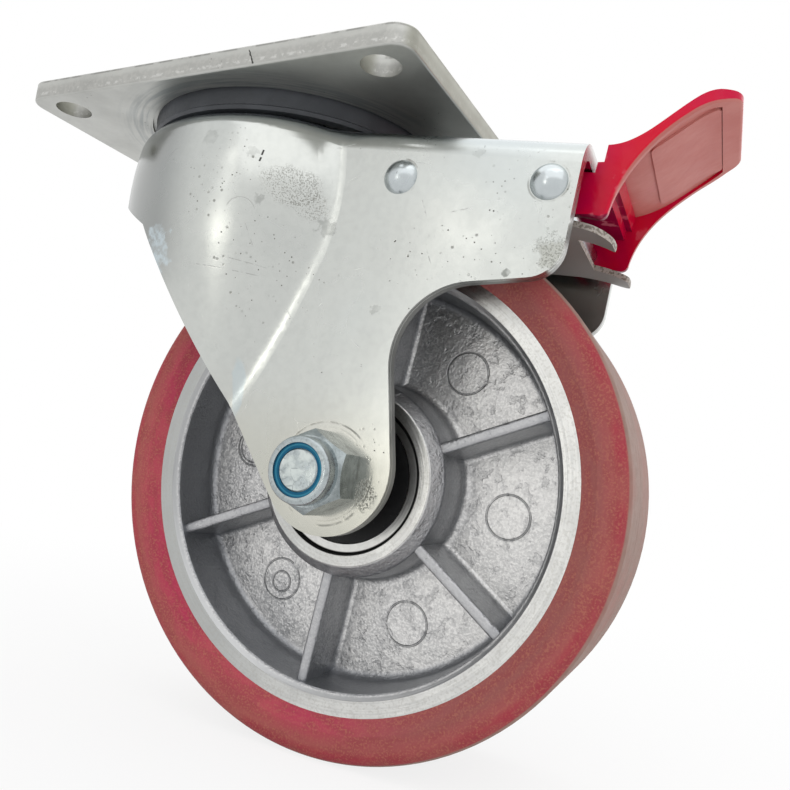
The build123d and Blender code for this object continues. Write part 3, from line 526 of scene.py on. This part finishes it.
def red_paint():
    """Thick gloss paint, with a painted reflection in salmon under the tread, painted light on its
    raised field's walls, and painted shade in crimson under the root.
    """
    colour = (0.66, 0.003, 0.024)
    s = Surface("pedal_red", colour, roughness=0.25)
    s.find_place()
    tread_start = 62                            # mm, as are the next three
    field_start, field_end, field_half_width = 70.2, 86.6, 19.4
    below = s.ramp(s.facing[2], -0.15, -0.45)
    root = s.times(below, s.rise(s.x, tread_start + 2, tread_start))
    tread = s.times(below, s.rise(s.x, tread_start, tread_start + 2))
    field_wall = s.times(s.ramp(s.size(s.facing[2]), 0.5, 0.35),
                         s.rise(s.x, field_start - 0.4, field_start),
                         s.rise(s.x, field_end + 0.4, field_end),
                         s.rise(s.size(s.y), field_half_width + 0.4, field_half_width))
    # magenta clouds, thicker towards the root, and pale runs there
    clouds = s.times(s.rise(s.x, 66, 58), s.ramp(s.noise(80.0, 2.0), 0.4, 0.6, 0.2, 0.8))
    runs = s.times(s.rise(s.x, 74, 56), s.ramp(s.noise(150.0, 3.0), 0.60, 0.66), 0.5)
    dust_and_sheen = s.ramp(s.noise(90.0, 3.0), 0.35, 0.7)
    s.set("Base Color", s.layers(
        s.mix(s.ramp(s.noise(45.0), 0.4, 0.75, 0.1, 0.8), colour, (0.56, 0.002, 0.055)),
        (clouds, (0.50, 0.001, 0.05)),
        # painted shade: dark crimson under the root
        (root, (0.24, 0.002, 0.036)),
        # painted reflection: salmon under the tread
        (tread, s.mix(dust_and_sheen, (0.51, 0.165, 0.145), (0.55, 0.20, 0.175))),
        # painted light: pale salmon on the raised field's walls
        (field_wall, (0.62, 0.26, 0.23)),
        (runs, (0.72, 0.22, 0.27))))
    gloss = s.ramp(s.noise(120.0), 0.3, 0.7, 0.14, 0.22)
    s.set("Roughness", s.plus(gloss, s.times(tread, 0.3)))
    s.set("Normal", s.bump(s.noise(200.0, 2.0), 0.00035, 0.6))
    s.set("Specular IOR Level", 0.15)
    s.set("Coat Weight", 0.06)
    s.set("Coat Roughness", 0.08)
    return s


def pin_rings(s):
    """Round marks of the ejector pins: one in each pocket, a second one in two near pockets."""
    pocket = math.radians(60.0)
    first_rib = math.radians(-37.0)
    pin_place = 42 * MM
    pin_r = 6.1                                 # mm
    from_rib = s.math("FLOORED_MODULO", s.minus(s.angle, first_rib), pocket)
    from_middle = s.math("COSINE", s.minus(from_rib, pocket / 2))
    squares = s.plus(s.times(s.radius, s.radius), pin_place * pin_place)
    away = s.math("SQRT", s.minus(squares, s.times(s.radius, from_middle, 2 * pin_place)))
    return s.most(s.band(away, pin_r, 0.38, 0.12), s.circle(-25.2, -34.3, 3.0, 0.38),
                  s.circle(-41.7, 5.1, 5.1, 0.3))


def cast_aluminium():
    """Die-cast wheel centre: crinkled bright skin on the web, turned faces on hub and rim, painted
    light towards the pedal and painted shade on the steep walls and away from the pedal.
    """
    s = Surface("wheel_casting", (0.5, 0.5, 0.5), metallic=1.0, roughness=0.42)
    s.find_wheel_place(near_side=(0, -1))       # the wheel's near half
    radius, offset = s.radius, s.offset
    # places in millimetres from the wheel's middle plane, and from the axle
    web_face, rib_low, rib_high, rim_face, hub_face = 6.6, 19.8, 21.0, 22.2, 23.6
    bore_r, hub_r, cone_r, wall_r, rim_r = 21.35, 24.3, 28.0, 55.5, 58.3
    # the casting's regions
    end_on = s.size(s.facing[1])
    rim = s.times(s.rise(radius, rim_r - 1, rim_r), s.rise(offset, rim_face - 0.6, rim_face))
    turned_rim = s.times(rim, s.ramp(end_on, 0.9, 0.97))
    turned_hub = s.times(s.rise(radius, hub_r + 0.5, hub_r),
                         s.rise(offset, hub_face - 0.4, hub_face))
    lip = s.times(s.rise(radius, bore_r + 0.35, bore_r), s.rise(offset, 20, 22))
    cone = s.times(s.rise(radius, cone_r + 1.5, cone_r), s.rise(offset, 12, 18))
    wall = s.times(s.rise(radius, wall_r - 2, wall_r), s.rise(offset, rim_face, rim_face - 0.6))
    web = s.rise(offset, web_face + 1.9, web_face)
    rib_top = s.times(s.rise(offset, rib_low - 1.2, rib_low),
                      s.rise(offset, rib_high + 0.6, rib_high),
                      s.rise(radius, cone_r - 0.5, cone_r + 0.5),
                      s.rise(radius, wall_r + 1.5, wall_r + 0.5))
    steep = s.times(s.ramp(end_on, 0.85, 0.5), s.rise(offset, rib_high + 0.6, rib_high - 0.4))
    # cast skin, brighter towards the pedal with painted light
    sparkle = s.noise(1500.0, 2.0)
    flow = s.ramp(s.noise(60.0, 5.0), 0.34, 0.68)
    folds = s.ramp(s.noise(210.0, 5.0, rough=0.65), 0.46, 0.38)
    ring = s.times(pin_rings(s), web, s.ramp(s.noise(130.0, 2.0), 0.30, 0.45))
    cast = s.layers(
        s.mix(flow, (0.60, 0.595, 0.59), (0.47, 0.47, 0.475)),
        (s.ramp(sparkle, 0.46, 0.62, 0.0, 0.65), (0.80, 0.795, 0.785)),
        (s.ramp(s.noise(750.0, 3.0), 0.50, 0.38, 0.0, 0.4), (0.30, 0.305, 0.315)),
        # painted light towards the pedal
        (s.rise(s.x, -10, 50, 0.0, 0.4), (0.78, 0.77, 0.75)),
        (s.times(folds, web, 0.18), (0.24, 0.245, 0.25)),
        # painted shade on the steep sides, the rim's inner wall and the hub's cone
        (s.times(steep, 0.55), (0.24, 0.255, 0.28)),
        (s.times(wall, 0.75), (0.28, 0.29, 0.31)),
        (s.times(cone, 0.6), (0.28, 0.285, 0.30)),
        (s.times(rib_top, 0.75), (0.40, 0.405, 0.42)),
        (s.times(ring, 0.55), (0.12, 0.125, 0.13)),
        (rim, (0.46, 0.465, 0.47)))
    # turned faces, with painted shade on the side away from the pedal
    lines = s.streaks(2.0, (radius, 1900.0), (s.angle, 1.5))
    clouds = s.ramp(s.noise(120.0, 3.0), 0.3, 0.7)
    turned = s.layers(
        s.mix(clouds, (0.70, 0.70, 0.68), (0.60, 0.60, 0.585)),
        (s.rise(s.x, 20, -45, 0.0, 0.8), (0.37, 0.385, 0.38)),
        (s.ramp(lines, 0.42, 0.66, 0.0, 0.25), (0.38, 0.385, 0.385)),
        (s.ramp(sparkle, 0.52, 0.36, 0.0, 0.35), (0.40, 0.39, 0.36)))
    tint = s.mix(s.most(turned_rim, turned_hub), cast, turned)
    s.set("Base Color", s.mix(s.times(lip, 0.85), tint, (0.03, 0.03, 0.03)))
    bare = s.most(rim, turned_hub)
    s.set("Roughness", s.ramp(bare, 0.0, 1.0, 0.44, 0.34))
    skin = s.plus(sparkle, s.times(s.noise(330.0, 4.0), 1.8))
    skin = s.minus(skin, s.times(folds, 0.7))
    skin = s.times(skin, s.ramp(bare, 0.0, 1.0, 1.0, 0.12))
    height = s.plus(skin, s.times(lines, bare, 0.5))
    s.set("Normal", s.bump(s.minus(height, s.times(ring, 1.6)), 0.00016, 0.8))
    return s


def tread_red():
    """Cast polyurethane: rose red sides with orange speckle, painted shade browning them towards
    the shoulder, darker towards the pedal, a paler, greyer tread that is painted reflection, and a
    mould line.
    """
    s = Surface("tread_red", (0.36, 0.06, 0.08), roughness=0.55)
    s.find_wheel_place()
    radius = s.radius
    inner_r, shoulder_r, tread_r = 65.0, 72.0, 74.5     # mm
    mould_line = -3.0                           # mm along the axle
    swirl = s.streaks(3.0, (radius, 420.0), (s.angle, 9.0), (s.offset, 420.0))
    speckle = s.ramp(s.noise(1900.0, 2.0), 0.45, 0.68)
    bloom = s.ramp(s.noise(26.0, 3.0), 0.35, 0.7)
    # darker and browner towards the pedal, near the shoulder
    browner_near_pedal = s.times(s.rise(s.x, -5, 40), s.rise(radius, shoulder_r, shoulder_r - 5), 0.8)
    shoulder = s.times(s.rise(radius, shoulder_r - 1.5, shoulder_r + 0.5),
                       s.ramp(s.noise(60.0, 2.0), 0.35, 0.6))
    side = s.layers(
        s.mix(bloom, (0.46, 0.048, 0.100), (0.48, 0.090, 0.110)),
        # painted shade: browner towards the shoulder
        (s.rise(radius, inner_r, shoulder_r, 0.0, 0.7), (0.33, 0.112, 0.088)),
        (browner_near_pedal, (0.27, 0.105, 0.090)),
        (shoulder, (0.37, 0.050, 0.070)),
        (s.ramp(swirl, 0.40, 0.62, 0.0, 0.45), (0.29, 0.060, 0.065)),
        (s.times(speckle, s.ramp(swirl, 0.35, 0.6, 0.2, 0.45)), (0.50, 0.20, 0.13)))
    line = s.band(s.y, mould_line, 0.5, 0.2)
    # the tread: paler and greyer than the sides, a painted reflection; darker mould line
    tread = s.layers(
        s.mix(s.ramp(s.noise(300.0), 0.3, 0.75), (0.33, 0.225, 0.19), (0.28, 0.18, 0.15)),
        (s.ramp(s.noise(40.0, 3.0), 0.4, 0.75, 0.0, 0.6), (0.37, 0.15, 0.13)),
        (s.times(line, 0.6), (0.17, 0.09, 0.075)))
    s.set("Base Color", s.mix(s.rise(radius, tread_r - 0.4, tread_r), side, tread))
    s.set("Roughness", s.ramp(speckle, 0.0, 1.0, 0.55, 0.65))
    s.set("Specular IOR Level", 0.1)
    s.set("Subsurface Weight", 0.08)
    s.set("Subsurface Radius", (0.004, 0.001, 0.0008))
    height = s.plus(s.noise(700.0, 3.0), s.times(swirl, 0.6))
    s.set("Normal", s.bump(s.minus(height, s.times(line, 0.8)), 0.00012, 0.5))
    return s


def nylon():
    """Blue locking ring of the nut, with a paler inner line."""
    s = Surface("nut_blue", (0.008, 0.11, 0.22), roughness=0.35)
    s.find_wheel_place()
    tint = s.mix(s.noise(500.0), (0.007, 0.085, 0.16), (0.014, 0.13, 0.24))
    line_r = 6.25                               # mm
    line = s.times(s.band(s.radius, line_r, 0.3, 0.1), 0.6)
    s.set("Base Color", s.mix(line, tint, (0.06, 0.30, 0.42)))
    s.set("Specular IOR Level", 0.1)
    return s


rivet_zinc = Zinc("rivet_zinc", (0.56, 0.60, 0.61), (0.46, 0.50, 0.52), 0.24, specks=0.6).close()
turned_steel = plain_steel("turned_steel", (0.62, 0.62, 0.605), 0.30, turned=0.35 * MM)
ball_steel = plain_steel("ball_steel", (0.65, 0.65, 0.65), 0.12)
seal_rubber = rubber("seal_rubber", (0.055, 0.059, 0.066), 0.42)
bearing_rubber = rubber("bearing_rubber", (0.006, 0.006, 0.0065), 0.45)

dress(fork_zinc(), "fork")
dress(plate_zinc(), "top_plate", "kingpin", "lower_race")
dress(brake_zinc(), "brake_plate")
dress(bolt_zinc(), "lock_nut", "axle_bolt")
dress(rivet_zinc, "front_rivet", "rear_rivet")
dress(turned_steel, "axle_tube", "mid_spacer", "front_spacers", "rear_spacers")
dress(turned_steel, "near_inner_ring", "far_inner_ring", "near_outer_ring", "far_outer_ring")
dress(turned_steel, "near_cage", "far_cage")
dress(ball_steel, "upper_balls", "lower_balls", "near_bearing_balls", "far_bearing_balls")
dress(seal_rubber, "dust_seal")
dress(bearing_rubber, "near_bearing_seal", "far_bearing_seal", "end_spacers")
dress(cast_aluminium(), "wheel_centre")
dress(tread_red(), "tyre")
dress(red_paint(), "pedal")
dress(nylon(), "nut_insert")


# ------------------------------------------------------------------ floor, light and camera
def floor_white():
    """White as camera and mirror rays see it, that still takes a shadow near the part."""
    s = Surface("floor_white", (0.82, 0.82, 0.82), roughness=0.9)
    shadow_from, shadow_to = 0.12, 0.45         # metres from the frame's origin
    glow = s.add("ShaderNodeEmission", {"Color": (1, 1, 1, 1), "Strength": 1.0}).outputs[0]
    share = s.times(s.seen(), s.ramp(s.length(s.place), shadow_from, shadow_to, 0.8, 1.0))
    mixed = s.add("ShaderNodeMixShader", {0: share, 1: s.shader.outputs[0], 2: glow}).outputs[0]
    s.give(s.nodes["Material Output"].inputs["Surface"], mixed)
    return s


def make_floor(z, reach):
    """Plain square floor under the wheel, that far to each side."""
    mesh = bpy.data.meshes.new("floor")
    corners = [(x * reach, y * reach, z) for x, y in ((-1, -1), (1, -1), (1, 1), (-1, 1))]
    mesh.from_pydata(corners, [], [(0, 1, 2, 3)])
    floor = bpy.data.objects.new("floor", mesh)
    bpy.context.scene.collection.objects.link(floor)
    floor.data.materials.append(floor_white().material)


def make_world(light, seen_light):
    """White studio: one strength where it lights the part, another where it is seen."""
    world = bpy.data.worlds.new("studio")
    bpy.context.scene.world = world
    world.use_nodes = True
    studio = Nodes(world.node_tree)
    background = studio.nodes["Background"].inputs
    studio.give(background["Color"], (1, 1, 1, 1))
    studio.give(background["Strength"], studio.ramp(studio.seen(), 0.0, 1.0, light, seen_light))


def area_light(name, place, target, size, power, colour=(1, 1, 1)):
    """Soft rectangular lamp aimed at a place."""
    data = bpy.data.lights.new(name, "AREA")
    data.shape = "RECTANGLE"
    data.size, data.size_y = size
    data.energy = power
    data.color = colour
    lamp = bpy.data.objects.new(name, data)
    bpy.context.scene.collection.objects.link(lamp)
    lamp.location = place
    lamp.rotation_euler = (Vector(target) - Vector(place)).to_track_quat("-Z", "Y").to_euler()


low, high = cad_box
middle = (low + high) / 2
make_floor(low.z, reach=6.0)
make_world(light=0.82, seen_light=1.0)

# name, place, target, size in metres, power in watts, colour
area_light("window", at(-260, 250, -920), at(0, 60, -40), (0.10, 0.62), 0.19, (1.0, 0.98, 0.93))
area_light("low_window", at(-270, 25, -920), at(0, 0, -20), (0.16, 0.17), 0.17, (1.0, 0.97, 0.88))
area_light("fill", at(260, 640, -440), middle, (1.2, 0.8), 1.5)
area_light("top", at(0, 620, 60), middle, (0.8, 0.8), 1.1)
area_light("back", at(350, 250, 600), middle, (0.6, 0.6), 0.5)

# the camera's place and directions, in the fork's own directions from the axle
camera_place = at(94.96, 1.49, -220.12)
camera_right = Vector((0.90365, 0.40621, 0.13568))
camera_up = Vector((-0.07931, -0.15259, 0.98510))
frame_pixels = 790
focal_pixels = 789.2
centre_pixel = (368.64, 388.90)

turn_fork = Matrix.Rotation(fork_turn, 3, "Z")
camera_data = bpy.data.cameras.new("camera")
camera_data.sensor_width = 36.0
camera_data.lens = focal_pixels / frame_pixels * camera_data.sensor_width
camera_data.shift_x = 0.5 - centre_pixel[0] / frame_pixels
camera_data.shift_y = centre_pixel[1] / frame_pixels - 0.5
camera_data.clip_start = 0.01
camera_data.clip_end = 20.0
camera = bpy.data.objects.new("camera", camera_data)
bpy.context.scene.collection.objects.link(camera)
right = turn_fork @ camera_right
up = turn_fork @ camera_up
turn_camera = Matrix((right, up, right.cross(up))).transposed().to_4x4()
camera.matrix_world = Matrix.Translation(camera_place) @ turn_camera
bpy.context.scene.camera = camera
bpy.context.scene.view_settings.view_transform = "Standard"
